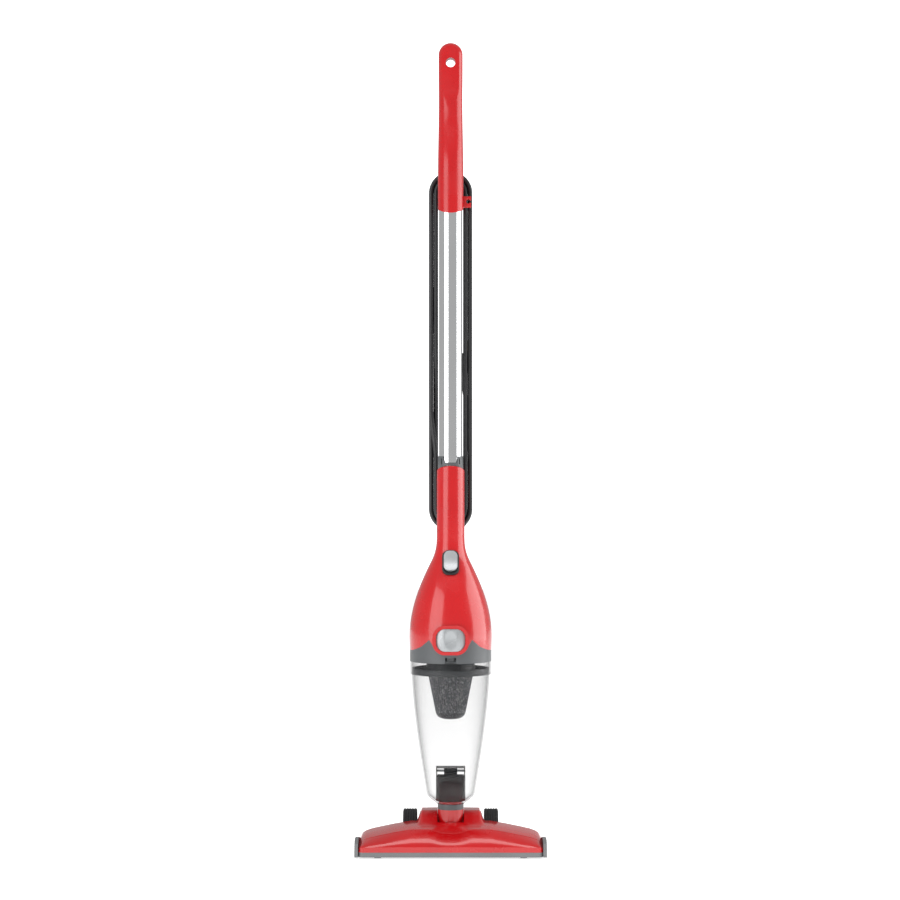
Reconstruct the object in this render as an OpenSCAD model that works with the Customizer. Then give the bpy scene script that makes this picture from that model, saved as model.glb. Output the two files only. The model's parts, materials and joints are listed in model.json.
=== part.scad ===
// Corded stick vacuum cleaner: floor head, swivelling neck, clear dust cup, hand unit with motor,
// steel wand and upper handle with its cord wound on two hooks.
// Millimetres. +Z is up, -Y is the front, and the wand's axis is the Z axis.

/* [Floor head] */
// Width of the floor head
head_w = 258; // [250:2:262]
// Height of the head's deck where the neck enters it
deck_h = 56; // [54:1:57]
// Height of the cover's lower edge above the floor
cover_z = 9; // [9:0.5:10]
// Radius of the rear wheels
wheel_r = 26; // [25:0.5:26]
// Width of the rear wheels
wheel_w = 20; // [18:1:20]
// Radius of the small rollers behind the front edge
roller_r = 6; // [5.5:0.5:6]

/* [Neck] */
// Height of the tilt axis
pivot_z = 30; // [30:0.5:31]
// How far the tilt axis is behind the wand's axis
pivot_y = 14; // [13:0.5:14]
// Radius of the neck above the drum
neck_r = 17.8; // [17.5:0.1:18]

/* [Dust cup] */
// Height of the cup's lower end
cup_z = 65.5; // [65.5:0.1:66]
// Height of the joint between the cup and the hand unit
cup_top_z = 260; // [259:0.5:260]
// Outer radius at the cup's rim
rim_r = 55; // [54.5:0.1:55]
// Thickness of the cup's wall
cup_wall = 2; // [1.8:0.1:2.2]

/* [Hand unit] */
// Largest radius of the motor housing
bulb_r = 56.2; // [55.8:0.1:56.4]
// Radius of the grip above the motor housing
grip_r = 19; // [18.8:0.1:19.2]
// Thickness of the moulded shells
wall = 2.4; // [2.2:0.1:2.6]
// Travel of the release button
button_travel = 3; // [2:0.5:3]
// Travel of the power switch
switch_travel = 3.5; // [2.5:0.5:3.5]

/* [Wand and handle] */
// Radius of the steel wand
tube_r = 15.8; // [15.6:0.1:15.8]
// Height of the whole machine
total_h = 1105; // [1100:1:1110]
// Radius of the hanging hole
hang_r = 6.5; // [6:0.5:7]

/* [Cord] */
// Diameter of the mains lead
cord_d = 6.5; // [6.3:0.1:6.5]
// Height of the lower hook's centre
low_hook_z = 466; // [465:1:467]
// Height of the upper hook's centre
high_hook_z = 900.5; // [899.5:0.5:901.5]

/* [Hidden] */
$fn = 64;
eps = 0.01;
far = 1500;                      // longer than any cut has to be

slip = 0.05;                     // radial clearance of a pin in its hole
gap = 0.3;                       // clearance between faces that slide past each other

// Floor head
head_front = 68;                 // front edge, in front of the wand's axis
head_back = 12;                  // back edge of the wide part
cover_half = head_w / 2 - 5;     // half the cover's width
crease_y = -46;                  // where the front face meets the top
ridge_top = 40.6;
sole_z = 2.5;                    // underside of the sole
sole_t = 3.5;
block_half = 43;                 // half the width of the block that carries the neck and wheels
block_back = 56;
slot_half = 86;                  // the suction slot
slot_front = -46;
slot_back = -20;
ear_in = 20;                     // the two ears that hold the neck
ear_out = 27;
wheel_y = head_front - wheel_r;
wheel_in = block_half + 2.6;
axle_r = 4;
axle_head_r = 6.5;
roller_x = 98;
roller_y = -57.5;
roller_w = 9;
roller_pin_r = 1.5;
pin_r = 5;                       // neck pivot pins
drum_r = 18.5;                   // the drum that the neck turns on
drum_half = 18;
slot_half_w = 18.4;              // the slot that the neck leans back into
screw_spots = [[-112, -28, 21], [112, -28, 21], [-62, -6, 32], [62, -6, 32]];

// Neck
collar_z = 58;
spigot_r = 15.9;
spigot_top = 94;
air_r = 13;

// Dust cup
step_z = cup_top_z - 17.6;       // the ledge that the filter rests on
mouth_r = spigot_r + 0.4;
duct_top = 101.5;
duct_w = 40;
duct_d = 36;
duct_t = 1.8;
flap_y = 14;                     // flap hinge
flap_z = 108;
flap_pin_r = 1.5;
catch_w = 14;

// Filter
cone_top_r = 31;
cone_low_r = 20.5;
cone_low_z = 190;
filter_neck_r = 33;
filter_neck_top = cup_top_z + 2.5;
media_t = 2.5;

// Hand unit
bulb_z = 294;                    // height of the largest radius
shoulder = [28.6, 391.5];        // radius and height where the bulb turns into the grip
grip_z = 428;
grip_top_z = 526;
grip_side_z = 518;               // the grip's upper edge is lower at the sides
socket_z = 458;                  // lower end of the wand's socket
button_z = 292;
button_w = 39;
button_h = 30;
bezel_w = 5;
switch_z = 395;
switch_y = -28;
switch_tilt = 26.5;              // slope of the housing under the switch
switch_w = 18.6;
switch_h = 29;
track_w = 23;                    // the dark surround that the switch slides in
track_h = 36;
motor_r = 27;
motor_z = [306, 358];
armature_r = 13;
fan_cover_r = 41;
fan_cover_z = [274, 299];
fan_r = 36;
fan_z = [280, 293];
shaft_r = 2.5;
arm_y = -51.5;                   // back of the release button
housing_posts = [[-33, 328], [33, 328], [0, 376], [0, 440]];

// Wand and handle
tube_t = 1;
tube_z = [460, 920];
ferrule_r = 16.9;
handle_z = 870;
handle_side_z = 878;             // the handle's lower edge is higher at the sides
handle_r = 17.4;
handle_top_r = 16.5;
lean_y = 12.5;                   // how far the handle's upper end leans back
lean_z = 925;                    // where the lean starts
hang_z = total_h - 28;
flat_half = 10.5;                // half the handle's depth at its flat upper end
handle_posts = [958, 1035];
latch_z = 500;
latch_travel = 2;

// Cord
hank_in = 17;                    // inside radius of the hank's round ends
hank_out = hank_in + 2 * cord_d;
hank_y = 22;                     // the face of the hank nearest the wand
hank_back = hank_y + 3 * cord_d;
hook_lip = 36;
relief_at = [10, 24];
relief_z = 416;                  // upper end of the strain relief
lead_route = [[10, 24, 416], [10.2, 24.7, 423], [11, 25.2, 430], [13.3, 25.3, 437], [16, 25.3, 443]];
tail_route = [
    [26.5, 38, 556], [26.5, 39, 570], [26.2, 42.5, 584], [25, 47, 598], [22.5, 51, 612], [19.8, 53, 626],
    [18, 53.5, 640],
];
plug_at = [18, 53.5, 640];

// ---------- Helpers ----------

function smooth(t) = let (u = max(0, min(1, t))) u * u * (3 - 2 * u);

function bezier(a, b, c, d, n) = [
    for (i = [0:n]) let (t = i / n, u = 1 - t)
        u * u * u * a + 3 * u * u * t * b + 3 * u * t * t * c + t * t * t * d
];

function unit(v) = v / norm(v);

// Direction of a route at one of its points.
function heading(route, i) = unit(route[min(i + 1, len(route) - 1)] - route[max(i - 1, 0)]);

// Round solid swept along a route. up is any direction that the route never takes.
module sweep(route, r, sides = 10, up = [1, 0, 0]) {
    points = [
        for (i = [0:len(route) - 1]) let (
            t = heading(route, i),
            n = unit(cross(up, t)),
            b = cross(t, n)
        ) for (k = [0:sides - 1]) route[i] + r * (cos(360 * k / sides) * n + sin(360 * k / sides) * b)
    ];
    loft(points, sides);
}

// Closed solid through rings of points, from the first ring to the last.
module loft(points, sides) {
    count = len(points) / sides;
    skin = [
        for (i = [0:count - 2]) for (k = [0:sides - 1]) for (half = [0, 1]) let (
            a = i * sides + k,
            b = i * sides + (k + 1) % sides
        ) half == 0 ? [a, a + sides, b + sides] : [a, b + sides, b]
    ];
    first = [for (k = [0:sides - 1]) k];
    last = [for (k = [0:sides - 1]) count * sides - 1 - k];
    polyhedron(points, concat([first], skin, [last]), convexity = 10);
}

// Helical spring along +Y from y = 0.
module coil_spring(r, wire_r, length, turns) {
    steps = turns * 14;
    sweep([
        for (i = [0:steps]) let (a = 360 * turns * i / steps)
            [r * cos(a), wire_r + (length - 2 * wire_r) * i / steps, r * sin(a)]
    ], wire_r, 6, [0, 1, 0]);
}

module along_x(r, x1, x2, y, z) {
    translate([x1, y, z]) rotate([0, 90, 0]) cylinder(r = r, h = x2 - x1);
}

module along_y(r, y1, y2, x, z) {
    translate([x, y2, z]) rotate([90, 0, 0]) cylinder(r = r, h = y2 - y1);
}

module block(low, high) {
    translate(low) cube(high - low);
}

module rounded_rect(w, d, r) {
    square([w - 2 * r, d], center = true);
    square([w, d - 2 * r], center = true);
    for (x = [-1, 1], y = [-1, 1]) translate([x * (w / 2 - r), y * (d / 2 - r)]) circle(r);
}

// Front-view outline given depth from y1 to y2.
module plate_y(y1, y2) {
    translate([0, y2, 0]) rotate([90, 0, 0]) linear_extrude(y2 - y1) children();
}

// Outline drawn in the X-Z plane, pushed through the whole depth.
module through_y(points) {
    plate_y(-far / 2, far / 2) polygon(points);
}

// Outline drawn in the Y-Z plane, pushed through the whole width.
module through_x(points, half = far / 2) {
    translate([-half, 0, 0]) rotate([90, 0, 90]) linear_extrude(2 * half) polygon(points);
}

module both_sides() {
    children();
    mirror([1, 0, 0]) children();
}

module screw(at, length, head_r = 3.2, shank_r = 1.5, turn = [0, 0, 0]) {
    translate(at) rotate(turn) difference() {
        union() {
            cylinder(r = head_r, h = 2);
            translate([0, 0, -length]) cylinder(r = shank_r, h = length + eps);
        }
        for (a = [0, 90]) rotate(a) translate([-2, -0.4, 1]) cube([4, 0.8, 2]);
    }
}

// ---------- Floor head ----------

// Height of the head's ridge, u away from its middle.
function ridge_h(u) = lookup(u, [
    [0, ridge_top], [54, ridge_top - 0.8], [75, 36.3], [96, 32], [108, 29.3], [116, 26.5], [121, 23], [124, 18],
]);

// Height of the crease between the front face and the top.
function crease_h(u) = ridge_h(u) - 3.6 - 5.5 * (1 - smooth((u - 6) / 26));

// Front face: t is 0 at the crease and 1 at the front edge.
function front_h(u, t) = let (c = crease_h(u), lip = min(15, 0.75 * c))
    lip + (c - lip) * (0.55 * sqrt(max(0, 1 - t * t)) + 0.45 * (1 - t));

function top_h(u, y) = let (s = 1 - min(1, (y - crease_y) / -crease_y))
    ridge_h(u) - (ridge_h(u) - crease_h(u)) * s * s
    + (deck_h - ridge_top) * (1 - smooth((u - 39) / 8)) * smooth((y + 28) / 34)
    - 18 * smooth((y - 28) / 28);

function cover_h(x, y) = y < crease_y
    ? front_h(abs(x), min(1, (crease_y - y) / (crease_y + head_front)))
    : top_h(abs(x), y);

cover_rows = concat(
    [for (a = [0:15:75]) crease_y - (head_front + crease_y) * cos(a)],
    [crease_y, -37, -28, -20, -12, -4, 4, 13, 22, 30, 37, 44, 50, block_back + 1]
);
cover_columns = concat(
    [-cover_half - 1], [for (x = [-120:8:-56]) x], [-50, -46, -43, -39, -32, -24, -16, -8, 0],
    [8, 16, 24, 32, 39, 43, 46, 50], [for (x = [56:8:120]) x], [cover_half + 1]
);

// Solid under the cover's surface, lowered by some depth.
module cover_field(drop) {
    xs = cover_columns;
    ys = cover_rows;
    nx = len(xs);
    ny = len(ys);
    top = [for (y = ys) for (x = xs) [x, y, cover_h(x, y) - drop]];
    corners = [
        [xs[0], ys[0], cover_z - drop], [xs[nx - 1], ys[0], cover_z - drop],
        [xs[nx - 1], ys[ny - 1], cover_z - drop], [xs[0], ys[ny - 1], cover_z - drop],
    ];
    n = nx * ny;
    skin = [
        for (j = [0:ny - 2]) for (i = [0:nx - 2]) for (half = [0, 1]) let (a = j * nx + i, b = a + nx)
            half == 0 ? [a, b, b + 1] : [a, b + 1, a + 1]
    ];
    front = concat([n + 1, n], [for (i = [0:nx - 1]) i]);
    back = concat([n + 3, n + 2], [for (i = [nx - 1:-1:0]) (ny - 1) * nx + i]);
    left = concat([n, n + 3], [for (j = [ny - 1:-1:0]) j * nx]);
    right = concat([n + 2, n + 1], [for (j = [0:ny - 1]) j * nx + nx - 1]);
    polyhedron(concat(top, corners), concat(skin, [front, back, left, right, [n, n + 1, n + 2, n + 3]]),
        convexity = 10);
}

// Plan of the head, drawn in by some inset.
module head_plan(inset = 0) {
    w = 2 * (cover_half - inset);
    d = head_front + head_back - 2 * inset;
    translate([0, (head_back - head_front) / 2]) rounded_rect(w, d, 7);
    translate([-block_half + inset, -10]) square([2 * (block_half - inset), block_back + 10 - inset]);
}

module neck_slot() {
    along_x(drum_r + 1, -slot_half_w, slot_half_w, pivot_y, pivot_z);
    through_x([
        [-neck_r - 1, far], [-neck_r - 1, 41], [-neck_r + 1, 37.5], [pivot_y - drum_r, pivot_z - 5],
        [pivot_y, pivot_z - drum_r - 1], [pivot_y + 22, 16], [far, 22], [far, far],
    ], slot_half_w);
}

module head_cover() {
    color([0.84, 0.1, 0.13]) difference() {
        intersection() {
            cover_field(0);
            translate([0, 0, cover_z]) linear_extrude(80) head_plan();
        }
        difference() {
            intersection() {
                cover_field(wall);
                linear_extrude(80) head_plan(wall);
            }
            for (p = screw_spots) translate([p[0], p[1], p[2] - 4]) cylinder(r = 3.6, h = 40);
        }
        for (p = screw_spots) translate([p[0], p[1], 0]) cylinder(r = 1.5, h = p[2] + 1);
        neck_slot();
        both_sides() along_x(axle_r + slip, block_half - wall - 1, block_half + 1, wheel_y, wheel_r);
    }
}

module end_cap() {
    x = cover_half + 0.2;
    intersection() {
        block([x, -head_front, sole_z], [head_w / 2, head_back - 4, 27]);
        through_x([
            [head_back - 4, sole_z], [-head_front, sole_z], [-head_front, 14], [-64, 20], [-56, 23.5],
            [-40, 24.5], [-5, 20.5], [head_back - 4, 17],
        ]);
    }
    block([cover_half - 3, -head_front + 6, sole_z], [x + 1, head_back - 7, cover_z - 0.1]);
}

module head_base() {
    color([0.42, 0.43, 0.44]) difference() {
        union() {
            translate([0, 0, sole_z]) linear_extrude(sole_t) head_plan();
            // the grey rim that shows under the cover
            translate([0, 0, sole_z]) linear_extrude(cover_z - 0.1 - sole_z) difference() {
                head_plan();
                head_plan(3);
            }
            both_sides() end_cap();
            // ears for the pivot pins
            both_sides() {
                block([ear_in, pivot_y - 9, sole_z], [ear_out, pivot_y + 9, pivot_z]);
                along_x(9, ear_in, ear_out, pivot_y, pivot_z);
            }
            // bosses for the wheel axles
            both_sides() {
                along_x(7, 31, block_half - wall - 0.4, wheel_y, wheel_r);
                block([31, wheel_y - 7, sole_z], [block_half - wall - 0.4, wheel_y + 7, wheel_r]);
            }
            // cheeks of the roller pockets
            both_sides() block([roller_x - 7.5, roller_y - 4, sole_z], [roller_x + 7.5, roller_y + 7.5, 9]);
            // posts for the cover's screws
            for (p = screw_spots) translate([p[0], p[1], sole_z]) cylinder(r = 3.6, h = p[2] - 4.1 - sole_z);
        }
        block([-slot_half, slot_front, 0], [slot_half, slot_back, 12]);
        both_sides() {
            along_x(pin_r + 0.02, ear_in - 1, ear_out + 1, pivot_y, pivot_z);
            along_x(axle_r + 0.02, 33, block_half + 1, wheel_y, wheel_r);
            block([roller_x - roller_w / 2 - 0.8, roller_y - roller_r - 1, 0],
                [roller_x + roller_w / 2 + 0.8, roller_y + roller_r + 1, 20]);
            along_x(roller_pin_r + 0.02, roller_x - 8, roller_x + 8, roller_y, roller_r);
        }
        for (p = screw_spots) translate([p[0], p[1], 0]) {
            cylinder(r = 1.55, h = 40);
            cylinder(r = 3.5, h = 5);
        }
        for (y = [slot_front - 6, slot_back + 2]) block([-88, y, 0], [88, y + 4, 4.5]);
    }
}

module head_screws() {
    color("silver") for (p = screw_spots) screw([p[0], p[1], 4.9], p[2] - 6, 3.2, 1.48, [180, 0, 0]);
}

module bristles(y) {
    // a backing strip with a row of tufts
    color([0.16, 0.16, 0.17]) {
        block([-87.7, y + 0.2, 3.4], [87.7, y + 3.8, 4.4]);
        for (x = [-84:6:84]) translate([x, y + 2, 0.8]) cylinder(r = 1.3, h = 2.61, $fn = 16);
    }
}

module front_bristles() { bristles(slot_front - 6); }
module rear_bristles() { bristles(slot_back + 2); }

module axle() {
    color("silver") {
        along_x(axle_r, 33.5, wheel_in + wheel_w + 0.5, wheel_y, wheel_r);
        along_x(axle_head_r, wheel_in + wheel_w + 0.5 - eps, wheel_in + wheel_w + 1.6, wheel_y, wheel_r);
    }
}

module right_axle() { axle(); }
module left_axle() { mirror([1, 0, 0]) axle(); }

module wheel() {
    rim = wheel_r - 3;
    x1 = wheel_in;
    x2 = wheel_in + wheel_w;
    color([0.09, 0.09, 0.1]) difference() {
        along_x(rim, x1 + 1, x2, wheel_y, wheel_r);
        difference() {
            along_x(rim - 2.5, x2 - 7, x2 + 1, wheel_y, wheel_r);
            along_x(9, x2 - 8, x2 + 2, wheel_y, wheel_r);
            for (a = [0:60:300]) translate([x2 - 7, wheel_y, wheel_r]) rotate([a, 0, 0])
                block([-1, -1.2, 0], [9, 1.2, rim]);
        }
        along_x(axle_r + slip, 0, far, wheel_y, wheel_r);
        along_x(axle_head_r + 0.6, x2 - 0.2, x2 + 1, wheel_y, wheel_r);
    }
}

module right_wheel() { wheel(); }
module left_wheel() { mirror([1, 0, 0]) wheel(); }

module tyre() {
    x1 = wheel_in + 0.5;
    x2 = wheel_in + wheel_w - 0.5;
    color([0.05, 0.05, 0.05]) difference() {
        union() {
            along_x(wheel_r, x1 + 1, x2 - 1, wheel_y, wheel_r);
            along_x(wheel_r - 0.8, x1, x2, wheel_y, wheel_r);
        }
        along_x(wheel_r - 3, 0, far, wheel_y, wheel_r);
        for (x = [x1 + 4:3.5:x2 - 4]) difference() {
            along_x(wheel_r + 1, x, x + 1, wheel_y, wheel_r);
            along_x(wheel_r - 0.7, x - 1, x + 2, wheel_y, wheel_r);
        }
    }
}

module right_tyre() { tyre(); }
module left_tyre() { mirror([1, 0, 0]) tyre(); }

module roller() {
    color([0.2, 0.2, 0.21]) difference() {
        along_x(roller_r, roller_x - roller_w / 2, roller_x + roller_w / 2, roller_y, roller_r);
        along_x(roller_pin_r + slip, 0, far, roller_y, roller_r);
    }
}

module right_roller() { roller(); }
module left_roller() { mirror([1, 0, 0]) roller(); }

module roller_pins() {
    color("silver") both_sides() along_x(roller_pin_r, roller_x - 7.4, roller_x + 7.4, roller_y, roller_r);
}

module pivot_pins() {
    color("silver") both_sides() along_x(pin_r, 14.4, ear_out + 0.5, pivot_y, pivot_z);
}

// ---------- Neck ----------

module neck_elbow() {
    color([0.84, 0.1, 0.13]) difference() {
        union() {
            along_x(drum_r, -drum_half, drum_half, pivot_y, pivot_z);
            // the shank leans forward from the drum to the wand's axis, with rounded lower corners
            intersection() {
                through_x([
                    [-neck_r, collar_z], [-neck_r, 44.5], [-neck_r + 1, 41.5], [-neck_r + 4, 38.5],
                    [-6, 33], [-4, pivot_z], [pivot_y + drum_r - 0.2, pivot_z], [pivot_y + 12, 44],
                    [neck_r, 50], [neck_r, collar_z],
                ]);
                union() {
                    cylinder(r = neck_r, h = collar_z);
                    block([-neck_r, 0, 0], [neck_r, far, collar_z]);
                }
                through_y(concat([[neck_r + 1, collar_z + 1], [-neck_r - 1, collar_z + 1]], [
                    for (a = [180:15:360]) [
                        neck_r * sign(cos(a)) * pow(abs(cos(a)), 0.5) * 1.001,
                        46 - 16 * pow(abs(sin(a)), 0.5)
                    ]
                ]));
            }
            translate([0, 0, collar_z - 1]) cylinder(r = 16.2, h = cup_z - collar_z + 0.8);
            translate([0, 0, 40]) cylinder(r = spigot_r, h = spigot_top - 40);
        }
        // airway: down from the cup, then out of the drum's underside
        translate([0, 0, 34]) cylinder(r = air_r, h = far);
        translate([0, pivot_y - 7, -1]) cylinder(r = air_r - 2, h = 60);
        through_x([[-far, -1], [-far, 44], [-neck_r, 44], [-neck_r + 4, 38.5], [-6, 33], [-4.6, pivot_z], [-4.6, -1]]);
        both_sides() along_x(pin_r + slip, 14.2, far, pivot_y, pivot_z);
    }
}

module neck_collar() {
    color([0.25, 0.26, 0.27]) difference() {
        translate([0, 0, collar_z + 0.02]) cylinder(r = neck_r, h = cup_z - 0.2 - collar_z);
        translate([0, 0, 50]) cylinder(r = 16.22, h = 40);
    }
}

// ---------- Dust cup ----------

function cup_wall_line(inset) = [
    for (p = bezier([33.3, 79], [40, 122], [51.5, 190], [53.2, step_z], 14)) [p[0] - inset, p[1]]
];

function cup_inner_line() = concat(
    [[20, 69.2], [29.8, 77], [31.2, 79.8]],
    [for (p = cup_wall_line(cup_wall)) if (p[1] > 80) p]
);

module cup_shell() {
    inner = cup_inner_line();
    color([0.85, 0.87, 0.88, 0.35]) {
        rotate_extrude($fn = 96) polygon(concat(
            [[mouth_r, cup_z], [18.7, cup_z], [21, 67], [31, 75]],
            cup_wall_line(0),
            [[rim_r, step_z], [rim_r, cup_top_z - 0.2], [rim_r - cup_wall, cup_top_z - 0.2]],
            [[rim_r - cup_wall, step_z]],
            [for (i = [len(inner) - 1:-1:0]) inner[i]],
            [[mouth_r, 69.2]]
        ));
        // catch on the front of the rim
        difference() {
            block([-catch_w / 2, -rim_r - 0.6, step_z + 4], [catch_w / 2, -rim_r + 1.8, cup_top_z + 8]);
            block([-3.5, -far, cup_top_z + 2], [3.5, -rim_r + 0.4, cup_top_z + 6]);
        }
    }
}

module inlet_duct() {
    color([0.3, 0.3, 0.31, 0.8]) {
        difference() {
            translate([0, 0, 69.3]) linear_extrude(duct_top - 69.3) rounded_rect(duct_w, duct_d, 4);
            translate([0, 0, 71]) linear_extrude(60)
                rounded_rect(duct_w - 2 * duct_t, duct_d - 2 * duct_t, 2.2);
            cylinder(r = mouth_r, h = far);
            // the corners follow the cup's sloping floor
            difference() {
                cylinder(r = 60, h = 110);
                rotate_extrude($fn = 96) polygon(concat(
                    [[0, 0], [19.9, 0]], [for (p = cup_inner_line()) [p[0] - 0.1, p[1]]], [[0, step_z]]
                ));
            }
        }
        // frame of the flap's hinge
        difference() {
            block([-duct_w / 2, 10, duct_top - eps], [duct_w / 2, 17, 114.3]);
            block([-duct_w / 2 + duct_t, 0, duct_top - 1], [duct_w / 2 - duct_t, 20, 111.4]);
            along_x(flap_pin_r + 0.02, -30, 30, flap_y, flap_z);
        }
    }
}

module flap_pin() {
    color("silver") along_x(flap_pin_r, -duct_w / 2, duct_w / 2, flap_y, flap_z);
}

module inlet_flap() {
    color([0.08, 0.08, 0.09]) difference() {
        union() {
            block([-17.8, -17.6, duct_top + gap], [17.8, 9.5, duct_top + gap + 1.8]);
            block([-9, 8, duct_top + gap], [9, flap_y, flap_z - 2.7]);
            along_x(3, -9, 9, flap_y, flap_z);
        }
        along_x(flap_pin_r + slip, -30, 30, flap_y, flap_z);
    }
}

// ---------- Filter ----------

module filter_flange() {
    z = step_z + 0.1;
    color([0.27, 0.28, 0.29]) difference() {
        union() {
            rotate_extrude($fn = 96) polygon([
                [28, z], [52.4, z], [52.4, z + 8], [50, z + 8], [50, z + 3], [filter_neck_r, z + 3],
                [filter_neck_r, filter_neck_top], [28, filter_neck_top],
            ]);
            for (a = [0:45:315]) rotate(a + 22.5) block([32, -1, z + 2], [51, 1, z + 7]);
        }
        translate([0, 0, cup_top_z - 6]) cylinder(r = 0.1, h = 1);
    }
}

module filter_media() {
    color([0.35, 0.36, 0.37]) rotate_extrude() polygon([
        [cone_low_r, cone_low_z], [cone_top_r, step_z + 0.1], [cone_top_r - media_t, step_z + 0.1],
        [cone_low_r - media_t, cone_low_z],
    ]);
}

module filter_cap() {
    color([0.27, 0.28, 0.29]) rotate_extrude() polygon(concat(
        [[0, 180.5]], bezier([10, 181], [16, 182], [19.5, 185], [cone_low_r, cone_low_z], 5), [[0, cone_low_z]]
    ));
}

module filter_seal() {
    color([0.06, 0.06, 0.06]) difference() {
        translate([0, 0, filter_neck_top - 5]) cylinder(r = filter_neck_r + 1.4, h = 5);
        translate([0, 0, 240]) cylinder(r = filter_neck_r + 0.02, h = 40);
    }
}

// ---------- Hand unit ----------

function bulb_line(inset) = [
    for (p = concat(
        [[rim_r + 0.6, cup_top_z], [rim_r + 0.6, 276]],
        bezier([bulb_r, bulb_z], [bulb_r, bulb_z + 38], [shoulder[0] + 12.4, shoulder[1] - 25], shoulder, 12),
        bezier([shoulder[0] - 1.5, shoulder[1] + 3], [24, 401], [grip_r, 410], [grip_r, grip_z], 6),
        [[grip_r, grip_top_z - 2], [grip_r - 1, grip_top_z]]
    )) [p[0] - inset, p[1]]
];

module bulb_solid(inset) {
    rotate_extrude($fn = 96) polygon(concat([[0, cup_top_z]], bulb_line(inset), [[0, grip_top_z]]));
}

// Front view of the dark collar: peaks either side of the release button.
collar_line = [
    [-60, 250], [-60, 274], [-50, 277], [-40, 282], [-29, 292], [-24, 284], [24, 284], [29, 292], [40, 282],
    [50, 277], [60, 274], [60, 250],
];

module button_pad(grow, y1, y2) {
    plate_y(y1, y2) translate([0, button_z]) rounded_rect(button_w + 2 * grow, button_h + 2 * grow, 12 + grow);
}

module housing_shell() {
    difference() {
        bulb_solid(0);
        difference() {
            bulb_solid(wall);
            for (p = housing_posts) along_y(4.2, -far / 2, far / 2, p[0], p[1]);
            // collar of the wand's socket
            translate([0, 0, socket_z - 3]) cylinder(r = far, h = 3);
        }
        through_y(collar_line);
        translate([0, 0, socket_z - 4]) cylinder(r = 12, h = far);
        translate([0, 0, socket_z]) cylinder(r = tube_r + 0.05, h = far);
        // arched upper edge
        through_y(concat(
            [[far, far], [-far, far], [-far, grip_side_z]],
            [for (a = [180:-15:0]) [grip_r * cos(a), grip_side_z + (grip_top_z - grip_side_z) * sin(a)]],
            [[far, grip_side_z]]
        ));
    }
}

// Everything tilted to lie on the slope under the power switch.
module on_slope(lift = 0) {
    translate([0, switch_y, switch_z]) rotate([90 - switch_tilt, 0, 0]) translate([0, 0, lift]) children();
}

module front_housing() {
    color([0.84, 0.1, 0.13]) difference() {
        union() {
            intersection() {
                housing_shell();
                block([-far, -far, 0], [far, 0, far]);
            }
            // raised bezel round the release button
            difference() {
                button_pad(bezel_w, -bulb_r - 1.2, -44);
                bulb_solid(wall);
            }
        }
        button_pad(gap, -far, 0);
        on_slope(-8) linear_extrude(30) rounded_rect(track_w + 0.1, track_h + 0.1, 9);
        for (p = housing_posts) along_y(1.5, -9, 1, p[0], p[1]);
    }
}

module rear_housing() {
    color([0.84, 0.1, 0.13]) difference() {
        intersection() {
            housing_shell();
            block([-far, 0, 0], [far, far, far]);
        }
        // exhaust louvres
        for (z = [304:6:346]) both_sides() block([8, 20, z], [27, far, z + 2.6]);
        for (p = housing_posts) {
            along_y(1.6, -1, far, p[0], p[1]);
            along_y(3.4, 9, far, p[0], p[1]);
        }
        // strain relief and wand latch
        translate([relief_at[0], relief_at[1], 370]) cylinder(r = 5.02, h = 50);
        translate([relief_at[0], relief_at[1], relief_z - 18.4]) cylinder(r = 5.7, h = 30);
        along_y(4.3, 10, far, 0, latch_z);
    }
}

module lower_collar() {
    color([0.3, 0.31, 0.32]) difference() {
        intersection() {
            difference() {
                bulb_solid(0);
                translate([0, 0, cup_top_z + 3]) cylinder(r = rim_r - wall, h = far);
            }
            through_y(collar_line);
        }
        // seat of the filter's neck
        cylinder(r = filter_neck_r + 4, h = far);
        // catch and latch
        block([-catch_w / 2 - gap, -far, 0], [catch_w / 2 + gap, -rim_r + 8, cup_top_z + 8.4]);
        button_pad(bezel_w + 0.02, -far, -40);
    }
}

module intake_grille() {
    color([0.2, 0.2, 0.21]) difference() {
        translate([0, 0, cup_top_z]) cylinder(r = filter_neck_r + 3.98, h = 10);
        translate([0, 0, cup_top_z - 1]) cylinder(r = filter_neck_r + 1.7, h = 5);
        for (a = [0:60:300]) rotate(a) block([6, -6, 0], [26, 6, far]);
    }
}

module motor_can() {
    color("silver") difference() {
        union() {
            translate([0, 0, motor_z[0]]) cylinder(r = motor_r, h = motor_z[1] - motor_z[0]);
            translate([0, 0, motor_z[1] - eps]) cylinder(r = 11, h = 8);
            translate([0, 0, motor_z[0] - 6]) cylinder(r = 14, h = 6 + eps);
        }
        // room for the armature
        translate([0, 0, motor_z[0] + 3]) cylinder(r = armature_r + 0.6, h = motor_z[1] - motor_z[0] - 6);
        translate([0, 0, 280]) cylinder(r = 6.02, h = 120);
    }
}

module bearings() {
    color([0.72, 0.52, 0.25]) for (z = [motor_z[0] - 5, motor_z[1] - 1]) difference() {
        translate([0, 0, z]) cylinder(r = 6, h = 8);
        translate([0, 0, z - 1]) cylinder(r = shaft_r + slip, h = 10);
    }
}

module motor_shaft() {
    color("silver") {
        translate([0, 0, fan_z[0] - 3]) cylinder(r = shaft_r, h = 91);
        translate([0, 0, motor_z[0] + 6]) cylinder(r = armature_r, h = motor_z[1] - motor_z[0] - 12);
    }
}

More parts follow.
